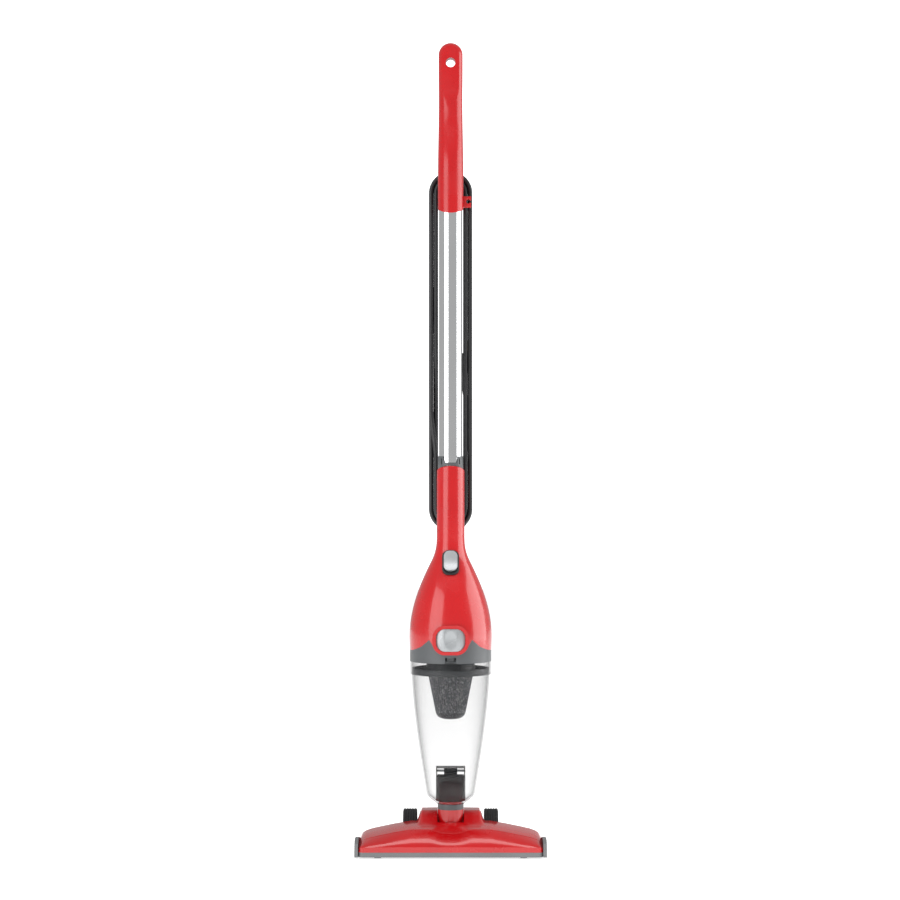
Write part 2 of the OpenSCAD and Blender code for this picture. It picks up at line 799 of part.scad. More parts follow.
module impeller() {
    color("gainsboro") difference() {
        union() {
            translate([0, 0, fan_z[1] - 2]) cylinder(r = fan_r, h = 2);
            translate([0, 0, fan_z[0]]) cylinder(r = 7, h = fan_z[1] - fan_z[0]);
            translate([0, 0, fan_z[0]]) difference() {
                cylinder(r = fan_r, h = 1.5);
                translate([0, 0, -1]) cylinder(r = 16, h = 4);
            }
            // nine swept-back blades
            for (a = [0:40:320]) rotate(a) translate([6, 0, fan_z[0] + 1]) rotate(-28) block([6, -0.7, 0],
                [27.5, 0.7, 11]);
        }
        translate([0, 0, 270]) cylinder(r = shaft_r + 0.02, h = 60);
    }
}

module fan_cover() {
    color([0.86, 0.86, 0.84]) {
        difference() {
            translate([0, 0, fan_cover_z[0]]) cylinder(r = fan_cover_r, h = fan_cover_z[1] - fan_cover_z[0]);
            translate([0, 0, fan_cover_z[0] + 2]) cylinder(r = fan_cover_r - 2, h = fan_cover_z[1] - fan_cover_z[0] - 4);
            translate([0, 0, 270]) cylinder(r = 17, h = 20);
            translate([0, 0, 290]) cylinder(r = 14.5, h = 30);
            for (a = [0:30:330]) rotate(a) block([26, -4, 290], [37, 4, 320]);
        }
        // seat of the release button's spring
        block([-6, -43, button_z - 6], [6, -fan_cover_r + 1.2, button_z + 6]);
    }
}

module motor_mounts() {
    color([0.1, 0.1, 0.1]) {
        difference() {
            translate([0, 0, fan_cover_z[1] + 0.1]) cylinder(r = 52.9, h = 6.8);
            translate([0, 0, 290]) cylinder(r = 14.05, h = 30);
            for (a = [15:30:345]) rotate(a) block([28, -4, 290], [49, 4, 320]);
            block([-23, -far, 290], [23, -42, 320]);
        }
        difference() {
            translate([0, 0, motor_z[1] + 0.1]) cylinder(r = 35.6, h = 6);
            translate([0, 0, 350]) cylinder(r = 11.05, h = 30);
            for (a = [15:30:345]) rotate(a) block([15, -2.5, 350], [32, 2.5, 380]);
        }
    }
}

module switch_frame() {
    // dark surround in the housing's slope, with a track for the slider
    color([0.12, 0.12, 0.13]) difference() {
        on_slope(-3) linear_extrude(4.2) rounded_rect(track_w, track_h, 9);
        on_slope(-1.3) linear_extrude(10) rounded_rect(switch_w + 1, track_h - 2, 8);
        on_slope(-6) linear_extrude(10) rounded_rect(6.6, 15, 2);
    }
}

module power_switch() {
    color([0.7, 0.72, 0.73]) on_slope(-1) translate([0, 1.9, 0]) difference() {
        union() {
            linear_extrude(4.2) rounded_rect(switch_w, switch_h, 7.5);
            translate([0, 0, -3.8]) linear_extrude(3.8 + eps) rounded_rect(6, 8, 1.5);
        }
        // thumb dish
        translate([0, 0, 62.6]) rotate([0, 90, 0]) cylinder(r = 60, h = 60, center = true, $fn = 96);
    }
}

module switch_body() {
    color([0.15, 0.15, 0.16]) {
        on_slope(-15) translate([-6, -9, 0]) cube([12, 18, 9.6]);
        on_slope(-20) for (y = [-5, 5]) translate([-0.4, y - 2.5, 0]) cube([0.8, 5, 5 + eps]);
    }
}

module wiring() {
    supply = [[10, 24, 373.9], [10, 22, 370.5], [12.5, 15, 369], [13.5, 6, 371], [12, -2, 376], [8, -8, 383]];
    to_motor = [[-4, -9, 385], [-7, -7, 380], [-9.5, -3, 375], [-9, 2, 370.5], [-7.5, 5, 366.3]];
    color([0.1, 0.1, 0.12]) sweep(supply, 1.6, 8);
    color([0.5, 0.1, 0.1]) sweep(to_motor, 1.2, 8);
}

module release_button() {
    color([0.68, 0.69, 0.7]) difference() {
        intersection() {
            button_pad(0, -bulb_r - 2.4, arm_y);
            translate([0, 0, 200]) cylinder(r = bulb_r + 2, h = 200, $fn = 96);
        }
        // thumb dish
        translate([0, -bulb_r - 60.8, button_z]) sphere(r = 60, $fn = 96);
    }
}

module latch_hook() {
    // plate behind the button, with an arm down to the cup's catch
    color([0.6, 0.6, 0.6]) {
        block([-6, arm_y + eps, button_z - 7], [6, arm_y + 3, button_z + 6.4]);
        block([-5, arm_y + 0.3, cup_top_z + 3.6], [5, arm_y + 3, button_z - 7 + eps]);
    }
}

module button_spring() {
    color("silver") translate([0, arm_y + 3.05, button_z]) coil_spring(3.6, 0.4, 5.4, 2);
}

module housing_screws() {
    color("silver") for (p = housing_posts) screw([p[0], 9.2, p[1]], 17, 3, 1.48, [-90, 0, 0]);
}

// ---------- Wand and handle ----------

module wand_tube() {
    color([0.83, 0.84, 0.85]) difference() {
        translate([0, 0, tube_z[0]]) cylinder(r = tube_r, h = tube_z[1] - tube_z[0], $fn = 96);
        translate([0, 0, tube_z[0] - 1]) cylinder(r = tube_r - tube_t, h = far, $fn = 96);
        for (z = [latch_z, high_hook_z]) along_y(4.3, 0, far, 0, z);
    }
}

module wand_ferrule() {
    // sleeve with two side tongues; its lower edge follows the grip's arched edge
    color([0.5, 0.52, 0.53]) difference() {
        translate([0, 0, grip_side_z]) cylinder(r = ferrule_r, h = 21, $fn = 96);
        translate([0, 0, grip_side_z - 1]) cylinder(r = tube_r + 0.02, h = 40, $fn = 96);
        through_y(concat(
            [[-far, grip_side_z - 5], [-far, grip_side_z + 0.1]],
            [for (a = [180:-15:0]) [grip_r * cos(a), grip_side_z + 0.1 + (grip_top_z - grip_side_z) * sin(a)]],
            [[far, grip_side_z + 0.1], [far, grip_side_z - 5]]
        ));
        through_y([
            [-10, far], [-10, 535], [-8, 530.5], [8, 530.5], [10, 535], [10, far],
        ]);
        both_sides() block([11.6, -far, 528], [12.8, far, 536]);
    }
}

module wand_latch() {
    color([0.6, 0.62, 0.63]) {
        along_y(4, 11, grip_r + 2, 0, latch_z);
        along_y(5.4, 9.5, 11 + eps, 0, latch_z);
    }
}

module wand_latch_spring() {
    color("silver") {
        translate([0, -5, latch_z]) coil_spring(3.6, 0.5, 14.4, 6);
        block([-12.8, -6.5, latch_z - 6], [12.8, -5.1, latch_z + 6]);
    }
}

// How far the handle's middle is behind the wand's axis at a height.
function path_y(z) = lean_y * smooth((z - lean_z) / 92);

// Half the handle's width and depth at a height.
function handle_half_w(z) = handle_r - 1.2 * smooth((z - lean_z) / 100) + 0.3 * smooth((z - 1030) / 40);
function handle_half_d(z) = handle_r - 2.6 * smooth((z - lean_z) / 110);

// Sections of the handle: height, and the angle up the rounded top.
handle_sections = concat(
    [[handle_z, 0]],
    [for (z = [lean_z:15:total_h - 30]) [z, 0]],
    [for (a = [0:14:84]) [total_h - handle_top_r, a]]
);

// The handle's solid form: a round bar that leans back and is flattened at its upper end.
module handle_form(inset) {
    sides = 32;
    difference() {
        loft([
            for (s = handle_sections) for (k = [0:sides - 1]) [
                (handle_half_w(s[0]) - inset) * cos(s[1]) * cos(360 * k / sides),
                path_y(s[0]) + (handle_half_d(s[0]) - inset) * cos(s[1]) * sin(360 * k / sides),
                s[0] + (handle_top_r - inset) * sin(s[1])
            ]
        ], sides);
        // flat front, then flat back
        through_x([
            [-60, 980], [lean_y - handle_r - 4 + inset, 980], [lean_y - flat_half + inset, 1040],
            [lean_y - flat_half + inset, total_h + 9], [-60, total_h + 9],
        ]);
        through_x([
            [90, 980], [lean_y + handle_r + 4 - inset, 980], [lean_y + flat_half - inset, 1040],
            [lean_y + flat_half - inset, total_h + 9], [90, total_h + 9],
        ]);
    }
}

module handle_shell() {
    difference() {
        handle_form(0);
        difference() {
            handle_form(wall);
            translate([0, 0, lean_z - 3]) cylinder(r = 60, h = 3);
            along_y(hang_r + 3, -far, far, 0, hang_z);
            for (z = handle_posts) along_y(4, -far, far, 0, z);
        }
        translate([0, 0, handle_z - 1]) cylinder(r = tube_r + 0.05, h = tube_z[1] - handle_z + 1.2);
        along_y(hang_r, -far / 2, far, 0, hang_z);
        // arched lower edge
        through_y(concat(
            [[far, 800], [-far, 800], [-far, handle_side_z]],
            [for (a = [180:15:360]) [handle_r * cos(a), handle_side_z + (handle_side_z - handle_z) * sin(a)]],
            [[far, handle_side_z]]
        ));
    }
}

// Everything in front of the handle's middle.
module front_of_handle() {
    through_x(concat(
        [[-90, handle_z - 5]], [for (z = [handle_z - 5, lean_z, 945, 965, 985, 1005, total_h + 9]) [path_y(z), z]],
        [[-90, total_h + 9]]
    ));
}

module front_handle() {
    color([0.84, 0.1, 0.13]) difference() {
        intersection() {
            handle_shell();
            front_of_handle();
        }
        for (z = handle_posts) along_y(1.5, path_y(z) - 7, far, 0, z);
    }
}

module rear_handle() {
    color([0.84, 0.1, 0.13]) difference() {
        handle_shell();
        front_of_handle();
        for (z = handle_posts) {
            along_y(1.6, -far, far, 0, z);
            along_y(3.3, path_y(z) + 5, far, 0, z);
        }
        // seat of the upper hook's pivot
        along_y(4.02, 10, far, 0, high_hook_z);
    }
}

module handle_screws() {
    color("silver") for (z = handle_posts) screw([0, path_y(z) + 5.2, z], 11.5, 3, 1.48, [-90, 0, 0]);
}

module cord_clip() {
    // lug on the handle's side with a notch that holds the lead in use
    color([0.84, 0.1, 0.13]) difference() {
        block([handle_r - 2, 2, 879], [28, 13, 894]);
        translate([0, 0, 800]) cylinder(r = handle_r + 0.02, h = 200);
        translate([24, 0, 887]) rotate([-90, 0, 0]) cylinder(r = cord_d / 2 - 0.3, h = 30);
        block([24, 0, 885.5], [40, 30, 888.5]);
    }
}

// ---------- Cord hooks and cord ----------

module lower_cord_hook() {
    y1 = hank_back + 0.6;
    color([0.13, 0.13, 0.14]) {
        difference() {
            // saddle, open towards the top
            plate_y(grip_r - 12, y1) translate([0, low_hook_z]) difference() {
                circle(hank_in - 0.5);
                difference() {
                    circle(hank_in - 4);
                    square([4, far], center = true);
                    square([far, 4], center = true);
                }
                translate([-far / 2, 4]) square(far);
            }
            translate([0, 0, 400]) cylinder(r = grip_r + 0.02, h = 200);
        }
        // lip that keeps the turns on
        plate_y(y1 - eps, y1 + 3) translate([0, low_hook_z]) intersection() {
            circle(hook_lip);
            translate([-15, -far]) square([30, far + 2]);
        }
    }
}

module upper_cord_hook() {
    y0 = handle_r + 0.4;
    y1 = hank_back + 0.6;
    color([0.13, 0.13, 0.14]) difference() {
        union() {
            along_y(hank_in - 0.5, y0, y1 + eps, 0, high_hook_z);
            plate_y(y1, y1 + 3) translate([0, high_hook_z]) intersection() {
                circle(hook_lip);
                translate([-15, -hank_in + 2]) square([30, far]);
            }
        }
        difference() {
            along_y(hank_in - 3.5, y0 + 3, far, 0, high_hook_z);
            along_y(8.5, 0, far, 0, high_hook_z);
            plate_y(y1 - 3, far) translate([0, high_hook_z]) difference() {
                square([30, far], center = true);
                circle(8.5);
            }
        }
        along_y(4 + slip, 0, far, 0, high_hook_z);
        along_y(6.5 + slip, y1 - 1, far, 0, high_hook_z);
    }
}

module hook_pivot() {
    y1 = hank_back + 0.6;
    color("silver") {
        along_y(4, 13, y1 - 0.9, 0, high_hook_z);
        along_y(6.5, y1 - 0.9, y1 + 1.6, 0, high_hook_z);
    }
}

module strain_relief() {
    x = relief_at[0];
    y = relief_at[1];
    color([0.05, 0.05, 0.05]) {
        translate([x, y, relief_z - 42]) cylinder(r = 5, h = 24 + eps);
        translate([x, y, relief_z - 18]) cylinder(r1 = 5.6, r2 = 4.1, h = 18);
    }
}

module cord_lead() {
    color([0.06, 0.06, 0.06]) sweep(lead_route, cord_d / 2, 10);
}

module stadium(r) {
    translate([0, low_hook_z]) circle(r, $fn = 96);
    translate([0, high_hook_z]) circle(r, $fn = 96);
    translate([-r, low_hook_z]) square([2 * r, high_hook_z - low_hook_z]);
}

module cord_hank() {
    color([0.06, 0.06, 0.06]) plate_y(hank_y, hank_back) difference() {
        stadium(hank_out);
        stadium(hank_in);
    }
}

module cord_tail() {
    color([0.06, 0.06, 0.06]) sweep(tail_route, cord_d / 2, 10);
}

module plug_body() {
    // moulded plug, with a tongue that clips it to the wound turns
    color([0.05, 0.05, 0.05]) translate(plug_at) {
        cylinder(r1 = 4.2, r2 = 5.6, h = 16);
        translate([0, 0, 15]) linear_extrude(24) rounded_rect(22, 16, 5);
        translate([0, 0, 38.9]) linear_extrude(2.5) rounded_rect(24, 18, 6);
        block([-4, hank_back + 0.1 - plug_at[1], 20], [4, -6, 34]);
    }
}

module plug_blades() {
    color([0.8, 0.7, 0.4]) translate(plug_at + [0, 0, 41.4])
        for (x = [-6.35, 6.35]) difference() {
            translate([x - 0.75, -3.2, 0]) cube([1.5, 6.4, 17]);
            translate([x - 2, 0, 13.5]) rotate([0, 90, 0]) cylinder(r = 1.5, h = 4);
        }
}

// ---------- Nodes ----------

head_cover();
head_base();
front_bristles();
rear_bristles();
head_screws();
left_axle();
right_axle();
left_wheel();
right_wheel();
left_tyre();
right_tyre();
roller_pins();
left_roller();
right_roller();
pivot_pins();
neck_elbow();
neck_collar();
cup_shell();
inlet_duct();
flap_pin();
inlet_flap();
filter_flange();
filter_media();
filter_cap();
filter_seal();
front_housing();
rear_housing();
lower_collar();
intake_grille();
motor_can();
bearings();
fan_cover();
motor_mounts();
motor_shaft();
impeller();
switch_frame();
power_switch();
switch_body();
wiring();
release_button();
latch_hook();
button_spring();
housing_screws();
wand_tube();
wand_ferrule();
wand_latch();
wand_latch_spring();
front_handle();
rear_handle();
handle_screws();
cord_clip();
lower_cord_hook();
upper_cord_hook();
hook_pivot();
strain_relief();
cord_lead();
cord_hank();
cord_tail();
plug_body();
plug_blades();
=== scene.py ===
import json
from math import cos, exp, pi, radians, sin, sqrt

import bmesh
import bpy
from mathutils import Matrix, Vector


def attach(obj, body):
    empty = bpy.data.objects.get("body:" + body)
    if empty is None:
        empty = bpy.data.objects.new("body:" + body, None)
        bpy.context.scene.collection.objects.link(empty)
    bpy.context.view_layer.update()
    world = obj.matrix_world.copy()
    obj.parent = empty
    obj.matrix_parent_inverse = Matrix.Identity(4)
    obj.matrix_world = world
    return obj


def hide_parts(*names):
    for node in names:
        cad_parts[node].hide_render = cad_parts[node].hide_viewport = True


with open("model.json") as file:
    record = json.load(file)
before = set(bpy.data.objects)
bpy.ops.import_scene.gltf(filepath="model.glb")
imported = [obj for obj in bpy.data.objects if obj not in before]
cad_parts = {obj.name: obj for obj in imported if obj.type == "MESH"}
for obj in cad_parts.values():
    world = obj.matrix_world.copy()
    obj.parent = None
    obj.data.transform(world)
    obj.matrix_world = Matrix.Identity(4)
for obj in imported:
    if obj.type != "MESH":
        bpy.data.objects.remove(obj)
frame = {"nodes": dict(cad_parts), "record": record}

MM = 0.001
NODES = frame["nodes"]
BODIES = frame["record"]["behaviour"]["bodies"]
BODY_OF = {node: body for body, nodes in BODIES.items() for node in nodes}
SLOT_OF = {s["node"]: s["material_slot"] for s in frame["record"]["subparts"]}
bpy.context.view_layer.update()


# ---------- Camera ----------

CAMERA_DISTANCE = 3.4
CAMERA_HEIGHT = 0.56
VIEW_WIDTH = 1.2286              # width of the view at the wand's axis

camera_data = bpy.data.cameras.new("camera")
camera_data.sensor_width = 36
camera_data.lens = 36 * CAMERA_DISTANCE / VIEW_WIDTH
camera_data.shift_x = -0.0007
camera_data.shift_y = -0.0102
camera = bpy.data.objects.new("camera", camera_data)
camera.location = (0, -CAMERA_DISTANCE, CAMERA_HEIGHT)
camera.rotation_euler = (pi / 2, 0, 0)
bpy.context.scene.collection.objects.link(camera)
bpy.context.scene.camera = camera


# ---------- Small helpers ----------

def smooth(t):
    u = max(0.0, min(1.0, t))
    return u * u * (3 - 2 * u)


def curve_through(knots, x):
    """Smooth value at x through (x, value) knots, flat beyond the ends."""
    if x <= knots[0][0]:
        return knots[0][1]
    if x >= knots[-1][0]:
        return knots[-1][1]
    for i in range(len(knots) - 1):
        (x0, v0), (x1, v1) = knots[i], knots[i + 1]
        if x <= x1:
            def slope(j):
                if j <= 0 or j >= len(knots) - 1:
                    return 0.0
                (xa, va), (xb, vb) = knots[j - 1], knots[j + 1]
                return (vb - va) / (xb - xa)
            h = x1 - x0
            t = (x - x0) / h
            m0, m1 = slope(i) * h, slope(i + 1) * h
            return ((2 * t ** 3 - 3 * t ** 2 + 1) * v0 + (t ** 3 - 2 * t ** 2 + t) * m0
                    + (-2 * t ** 3 + 3 * t ** 2) * v1 + (t ** 3 - t ** 2) * m1)


def bezier(a, b, c, d, n):
    points = []
    for i in range(n + 1):
        t = i / n
        u = 1 - t
        w = (u ** 3, 3 * u * u * t, 3 * u * t * t, t ** 3)
        points.append(tuple(w[0] * a[k] + w[1] * b[k] + w[2] * c[k] + w[3] * d[k] for k in range(len(a))))
    return points


def new_object(name, mesh):
    obj = bpy.data.objects.new(name, mesh)
    bpy.context.scene.collection.objects.link(obj)
    return obj


def mesh_object(name, points, faces):
    mesh = bpy.data.meshes.new(name)
    mesh.from_pydata([Vector(p) for p in points], [], faces)
    mesh.update()
    return new_object(name, mesh)


def tidy_normals(obj):
    """Faces point outwards."""
    bm = bmesh.new()
    bm.from_mesh(obj.data)
    bmesh.ops.recalc_face_normals(bm, faces=bm.faces)
    bm.to_mesh(obj.data)
    bm.free()


def shade(obj, angle=32):
    obj.data.shade_smooth()
    obj.data.set_sharp_from_angle(angle=radians(angle))


def apply_modifiers(obj):
    bpy.context.view_layer.update()
    graph = bpy.context.evaluated_depsgraph_get()
    mesh = bpy.data.meshes.new_from_object(obj.evaluated_get(graph))
    obj.modifiers.clear()
    obj.data = mesh


def cut(obj, cutter, operation="DIFFERENCE"):
    modifier = obj.modifiers.new("cut", "BOOLEAN")
    modifier.operation = operation
    modifier.solver = "EXACT"
    modifier.object = cutter
    apply_modifiers(obj)
    bpy.data.objects.remove(cutter)


def bevel(obj, width, angle=35, segments=2):
    modifier = obj.modifiers.new("bevel", "BEVEL")
    modifier.width = width
    modifier.segments = segments
    modifier.limit_method = "ANGLE"
    modifier.angle_limit = radians(angle)
    apply_modifiers(obj)


def prism(name, outline, low, high, axis="z"):
    """Closed solid of an outline in mm, pushed along an axis from low to high."""
    place = {"x": lambda p, h: (h, p[0], p[1]), "y": lambda p, h: (p[0], h, p[1]), "z": lambda p, h: (p[0], p[1], h)}
    n = len(outline)
    points = [[MM * c for c in place[axis](p, h)] for h in (low, high) for p in outline]
    faces = [list(range(n)), list(range(n, 2 * n))]
    faces += [[i, (i + 1) % n, n + (i + 1) % n, n + i] for i in range(n)]
    obj = mesh_object(name, points, faces)
    tidy_normals(obj)
    return obj


def round_outline(w, d, r, centre=(0, 0), steps=10):
    points = []
    for k, (sx, sy) in enumerate(((1, 1), (-1, 1), (-1, -1), (1, -1))):
        for i in range(steps + 1):
            a = pi / 2 * (k + i / steps)
            points.append((centre[0] + sx * (w / 2 - r) + r * cos(a), centre[1] + sy * (d / 2 - r) + r * sin(a)))
    return points


def circle_outline(r, centre=(0, 0), steps=64):
    return [(centre[0] + r * cos(2 * pi * i / steps), centre[1] + r * sin(2 * pi * i / steps)) for i in range(steps)]


def loft(name, rings, closed=False):
    """Solid through rings of points in mm. The ends are capped unless it closes on itself."""
    n = len(rings[0])
    points = [[MM * c for c in p] for ring in rings for p in ring]
    faces = []
    count = len(rings)
    for i in range(count if closed else count - 1):
        a, b = i * n, ((i + 1) % count) * n
        faces += [[a + k, a + (k + 1) % n, b + (k + 1) % n, b + k] for k in range(n)]
    if not closed:
        faces += [list(range(n)), list(range((count - 1) * n, count * n))]
    obj = mesh_object(name, points, faces)
    tidy_normals(obj)
    return obj


def revolve(name, profile, steps=128):
    """Ring-shaped solid of a closed (radius, height) profile in mm, turned about the wand's axis."""
    rings = []
    for i in range(steps):
        a = 2 * pi * i / steps
        rings.append([(r * cos(a), r * sin(a), z) for r, z in profile])
    return loft(name, rings, closed=True)


def join(name, pieces):
    bm = bmesh.new()
    for piece in pieces:
        bm.from_mesh(piece.data)
        bpy.data.objects.remove(piece)
    mesh = bpy.data.meshes.new(name)
    bm.to_mesh(mesh)
    bm.free()
    return new_object(name, mesh)


def use(obj, material, *nodes, body=None):
    """obj stands for CAD nodes, with a material of its own."""
    obj.data.materials.clear()
    obj.data.materials.append(material)
    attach(obj, body or BODY_OF[nodes[0]])
    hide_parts(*nodes)
    return obj


# ---------- Materials ----------

def srgb(*channels):
    return tuple((c / 255 / 12.92) if c / 255 <= 0.04045 else ((c / 255 + 0.055) / 1.055) ** 2.4 for c in channels)


def surface(name, colour, rough=0.3, vary=0.06, rough_vary=0.06, grain=900, bump=0.05, depth=0.0001,
            streaks=(1, 1, 1), speckle=0.0, **sockets):
    """Procedural material: colour and roughness change a little over the surface, with a fine grain."""
    material = bpy.data.materials.new(name)
    material.use_nodes = True
    tree = material.node_tree
    nodes, link = tree.nodes, tree.links.new
    shader = nodes["Principled BSDF"]
    place = nodes.new("ShaderNodeTexCoord")
    stretch = nodes.new("ShaderNodeMapping")
    stretch.inputs["Scale"].default_value = streaks
    link(place.outputs["Object"], stretch.inputs["Vector"])

    def noise(scale, detail=3.0, vector=None):
        node = nodes.new("ShaderNodeTexNoise")
        node.inputs["Scale"].default_value = scale
        node.inputs["Detail"].default_value = detail
        link((vector or stretch.outputs["Vector"]), node.inputs["Vector"])
        return node.outputs["Fac"]

    def ramp(value, low, high, start=0.35, end=0.65):
        node = nodes.new("ShaderNodeValToRGB")
        node.color_ramp.elements[0].position = start
        node.color_ramp.elements[1].position = end
        node.color_ramp.elements[0].color = (*low, 1)
        node.color_ramp.elements[1].color = (*high, 1)
        link(value, node.inputs["Fac"])
        return node.outputs["Color"]

    dark = tuple(c * (1 - vary) for c in colour)
    light = tuple(min(1, c * (1 + vary)) for c in colour)
    tone = ramp(noise(14), dark, light)
    if speckle:
        mix = nodes.new("ShaderNodeMix")
        mix.data_type = "RGBA"
        fleck = ramp(noise(grain * 0.6, 2), (0, 0, 0), (1, 1, 1), 0.56, 0.66)
        link(fleck, mix.inputs["Factor"])
        link(tone, mix.inputs[6])
        mix.inputs[7].default_value = (*(min(1, c + speckle) for c in colour), 1)
        tone = mix.outputs[2]
    link(tone, shader.inputs["Base Color"])
    low, high = max(0.02, rough - rough_vary), min(1, rough + rough_vary)
    link(ramp(noise(35, 4), (low,) * 3, (high,) * 3), shader.inputs["Roughness"])

    height = noise(grain, 2)
    relief = nodes.new("ShaderNodeBump")
    relief.inputs["Strength"].default_value = bump
    relief.inputs["Distance"].default_value = depth
    link(height, relief.inputs["Height"])
    link(relief.outputs["Normal"], shader.inputs["Normal"])
    for socket, value in sockets.items():
        shader.inputs[socket.replace("_", " ").title().replace("Ior", "IOR")].default_value = value
    return material


def clear(name, colour, facing, edge, rough=0.06, steepness=1.0):
    """Clear moulding: nearly see-through where it faces the eye, turning to its opaque grey towards the edges as
    painted rim shade.
    """
    material = surface(name, colour, rough, vary=0.02, rough_vary=0.02, grain=300, bump=0.02)
    tree = material.node_tree
    weight = tree.nodes.new("ShaderNodeLayerWeight")
    weight.inputs["Blend"].default_value = 0.35
    span = tree.nodes.new("ShaderNodeMapRange")
    span.inputs["To Min"].default_value = facing
    span.inputs["To Max"].default_value = edge
    steep = tree.nodes.new("ShaderNodeMath")
    steep.operation = "POWER"
    steep.inputs[1].default_value = steepness
    tree.links.new(weight.outputs["Facing"], steep.inputs[0])
    tree.links.new(steep.outputs["Value"], span.inputs["Value"])
    tree.links.new(span.outputs["Result"], tree.nodes["Principled BSDF"].inputs["Alpha"])
    return material


RED = surface("red_plastic", srgb(188, 7, 14), 0.24, 0.05, 0.05, 700, 0.04, coat_weight=0.5, coat_roughness=0.05)
RED_HANDLE = surface("red_handle", srgb(180, 7, 14), 0.28, 0.05, 0.06, 900, 0.08, coat_weight=0.25,
                     coat_roughness=0.12)
GREY_BASE = surface("grey_base", srgb(112, 113, 114), 0.42, 0.06, 0.08, 1400, 0.25, 0.00015, speckle=0.03)
COLLAR_GREY = surface("collar_grey", srgb(80, 83, 85), 0.34, 0.06, 0.06, 1300, 0.2, 0.0001)
# filter flange and cap: dark grey plastic, toned darker than the collar grey as painted shade for the shadowed gap
# between collar and cup
FILTER_GREY_PAINTED_SHADE = surface("filter_grey_painted_shade", srgb(48, 50, 52), 0.45, 0.08, 0.08, 1300, 0.25, 0.0001)
BLACK = surface("black_plastic", srgb(22, 22, 24), 0.45, 0.12, 0.1, 1300, 0.3, 0.0001)
SILVER = surface("silver_button", srgb(165, 168, 170), 0.3, 0.05, 0.06, 1800, 0.12, 0.00005, speckle=0.06,
                 metallic=0.35)
STEEL = surface("plain_steel", srgb(176, 178, 180), 0.34, 0.08, 0.1, 1500, 0.2, 0.00005, metallic=1.0)
CHROME = surface("polished_tube", srgb(236, 237, 238), 0.09, 0.02, 0.03, 1200, 0.01, 0.00002, metallic=1.0)
TYRE = surface("tyre_rubber", srgb(30, 30, 32), 0.72, 0.2, 0.1, 900, 0.6, 0.0002)
SEAL = surface("seal_rubber", srgb(24, 24, 25), 0.6, 0.15, 0.1, 900, 0.4, 0.0001)
CORD = surface("cord_rubber", srgb(32, 32, 34), 0.4, 0.12, 0.08, 700, 0.25, 0.0001)
BRISTLE = surface("bristle_nylon", srgb(40, 40, 42), 0.6, 0.25, 0.1, 2500, 0.6, 0.0002)
FELT = surface("filter_felt", srgb(70, 71, 74), 0.85, 0.3, 0.08, 1700, 0.9, 0.0003, streaks=(1, 1, 0.35),
               speckle=0.3, sheen_weight=0.3)
ALUMINIUM = surface("motor_metal", srgb(188, 190, 192), 0.3, 0.06, 0.08, 1500, 0.2, 0.00005, metallic=1.0)
BRONZE = surface("sintered_bronze", srgb(180, 140, 82), 0.42, 0.12, 0.1, 2200, 0.5, 0.0001, metallic=1.0)
CREAM = surface("fan_cover_plastic", srgb(214, 213, 206), 0.45, 0.04, 0.08, 1200, 0.2)
WIRE = surface("wire_cover", srgb(92, 26, 28), 0.45, 0.15, 0.08, 900, 0.2)
BRASS = surface("plug_brass", srgb(206, 184, 120), 0.26, 0.08, 0.08, 1500, 0.2, 0.00005, metallic=1.0)
# towards their rims both turn to opaque grey: painted rim shade over the clear and smoked plastic
CLEAR_CUP = clear("clear_cup", srgb(60, 62, 64), 0.075, 0.95, 0.06, 2.6)
SMOKED = clear("smoked_duct", srgb(44, 38, 38), 0.62, 0.93, 0.12)

MATERIAL_OF = {
    "red_shell": RED, "grey_base": GREY_BASE, "dark_grey_plastic": COLLAR_GREY, "black_plastic": BLACK,
    "bristle": BRISTLE, "tyre": TYRE, "steel": STEEL, "chrome_tube": CHROME, "clear_cup": CLEAR_CUP,
    "smoked_duct": SMOKED, "filter_fabric": FELT, "seal_rubber": SEAL, "silver_button": SILVER,
    "motor_metal": ALUMINIUM, "bronze": BRONZE, "fan_white": CREAM, "wire_cover": WIRE, "cord_black": CORD,
    "plug_brass": BRASS,
}
OWN_MATERIAL = {
    "filter_flange": FILTER_GREY_PAINTED_SHADE, "filter_cap": FILTER_GREY_PAINTED_SHADE, "front_handle": RED_HANDLE,
    "rear_handle": RED_HANDLE, "cord_clip": RED_HANDLE,
}


def material_of(node):
    return OWN_MATERIAL.get(node, MATERIAL_OF[SLOT_OF[node]])


for node, obj in NODES.items():
    if not obj.material_slots:
        obj.data.materials.append(None)
    for material_slot in obj.material_slots:
        material_slot.material = material_of(node)


# ---------- Cord ----------

CORD_D = 6.5
LOW_HOOK, HIGH_HOOK = 466, 900.5
INNER, OUTER = 20.25, 26.75      # radii of the two layers of turns
DEPTHS = (25.25, 31.75, 38.25)
# the place of each turn: how far out it lies and how deep
TURNS = [(OUTER, DEPTHS[0]), (INNER, DEPTHS[0]), (INNER, DEPTHS[1]), (OUTER, DEPTHS[1]), (OUTER, DEPTHS[2])]
LEAD = [(10, 24, 416), (10.2, 24.7, 423), (11, 25.2, 430), (13.3, 25.3, 437), (16, 25.3, 443)]
TAIL = [
    (26.5, 38, 556), (26.5, 39, 570), (26.2, 42.5, 584), (25, 47, 598), (22.5, 51, 612), (19.8, 53, 626),
    (18, 53.5, 640),
]
CHANGE = 70                      # length over which a turn moves to the next place


